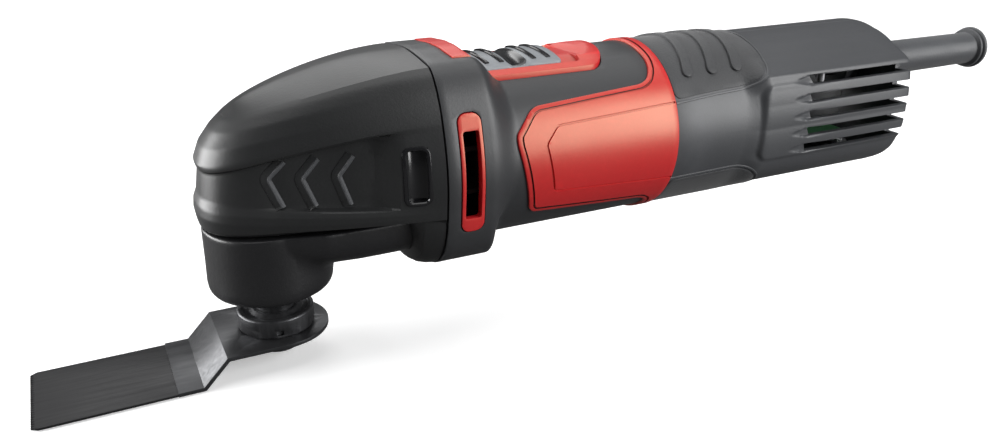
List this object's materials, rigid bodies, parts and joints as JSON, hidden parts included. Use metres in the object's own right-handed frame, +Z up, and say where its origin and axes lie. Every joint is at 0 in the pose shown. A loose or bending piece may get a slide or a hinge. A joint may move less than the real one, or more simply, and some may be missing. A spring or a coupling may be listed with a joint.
{
  "type": "oscillating multi tool",
  "caption": "Corded oscillating multi tool with a right-angle gear head, slide switch, vented handle and a cranked plunge saw blade.",
  "frame": {"origin": "on the ground plane under the middle of the tool's bounding box; the spindle axis is 116.9 mm towards -X", "axes": "+X along the tool from the blade to the cord end, +Y to the tool's right side, +Z up along the spindle axis away from the blade"},
  "size_m": [0.3776, 0.0642, 0.0922],
  "materials": {
    "hood_plastic": "satin charcoal moulding",
    "gear_case": "black coated die casting",
    "black_gloss": "gloss black",
    "body_plastic": "satin dark grey moulding",
    "rear_plastic": "satin mid grey moulding",
    "grip_rubber": "soft matt overmould",
    "red_plastic": "satin red moulding",
    "button_plastic": "light grey satin",
    "blade_steel": "dark hardened strip steel",
    "black_steel": "black oxide",
    "bright_steel": "ground steel",
    "sleeve_rubber": "matt grey rubber",
    "motor_iron": "stacked laminations",
    "copper_wire": "varnished winding wire",
    "copper_bar": "turned copper",
    "brass": "formed brass",
    "carbon": "carbon graphite",
    "fan_plastic": "moulded black",
    "inner_plastic": "moulded black",
    "circuit_board": "potted board"
  },
  "bodies": {
    "housing": {"gearbox_cover": "hood_plastic", "gear_housing": "gear_case", "side_insert_left": "black_gloss", "side_insert_right": "black_gloss", "lower_spindle_bearing": "bright_steel", "upper_spindle_bearing": "bright_steel", "spindle_seal": "sleeve_rubber", "front_motor_bearing": "bright_steel", "bearing_plate": "gear_case", "rear_motor_bearing": "bright_steel", "rear_bearing_bush": "sleeve_rubber", "stator_core": "motor_iron", "field_coil_upper": "copper_wire", "field_coil_lower": "copper_wire", "brush_holder_left": "brass", "brush_holder_right": "brass", "carbon_brush_left": "carbon", "carbon_brush_right": "carbon", "brush_spring_left": "bright_steel", "brush_spring_right": "bright_steel", "motor_housing": "body_plastic", "accent_band": "red_plastic", "vent_frame_left": "red_plastic", "vent_frame_right": "red_plastic", "switch_surround": "red_plastic", "handle_shell_left": "rear_plastic", "handle_shell_right": "rear_plastic", "top_grip": "grip_rubber", "bottom_grip": "grip_rubber", "switch_module": "inner_plastic", "speed_module": "circuit_board", "cord_clamp": "inner_plastic", "cord_clamp_screw_1": "bright_steel", "cord_clamp_screw_2": "bright_steel", "cord_sleeve": "sleeve_rubber", "gearbox_screw_1": "bright_steel", "gearbox_screw_2": "bright_steel", "gearbox_screw_3": "bright_steel", "gearbox_screw_4": "bright_steel", "handle_screw_1": "bright_steel", "handle_screw_2": "bright_steel", "handle_screw_3": "bright_steel"},
    "spindle_group": {"spindle": "bright_steel", "fork_lever": "black_steel", "tool_flange": "black_steel", "blade": "blade_steel", "clamp_washer": "black_steel", "clamp_bolt": "bright_steel"},
    "rotor": {"rotor_shaft": "bright_steel", "eccentric_hub": "bright_steel", "eccentric_bearing": "bright_steel", "fan": "fan_plastic", "rotor_core": "motor_iron", "rotor_winding_front": "copper_wire", "rotor_winding_rear": "copper_wire", "commutator": "copper_bar"},
    "switch_slider": {"switch_button": "button_plastic", "switch_link": "inner_plastic"},
    "dial": {"speed_dial": "inner_plastic"}
  },
  "joints": [
    {"name": "spindle_oscillation", "type": "hinge", "parent": "housing", "child": "spindle_group", "pos_m": [-0.1169, 0, 0.045], "axis": [0, 0, 1], "range_deg": [-1.6, 1.6]},
    {"name": "rotor_spin", "type": "hinge", "parent": "housing", "child": "rotor", "pos_m": [-0.0219, 0, 0.058], "axis": [1, 0, 0], "continuous": true},
    {"name": "switch_slide", "type": "slide", "parent": "housing", "child": "switch_slider", "axis": [1, 0, 0], "range_m": [0, 0.006]},
    {"name": "speed_dial_turn", "type": "hinge", "parent": "housing", "child": "dial", "pos_m": [0.0941, 0.018, 0.0372], "axis": [0, 0, 1], "range_deg": [0, 270]}
  ]
}
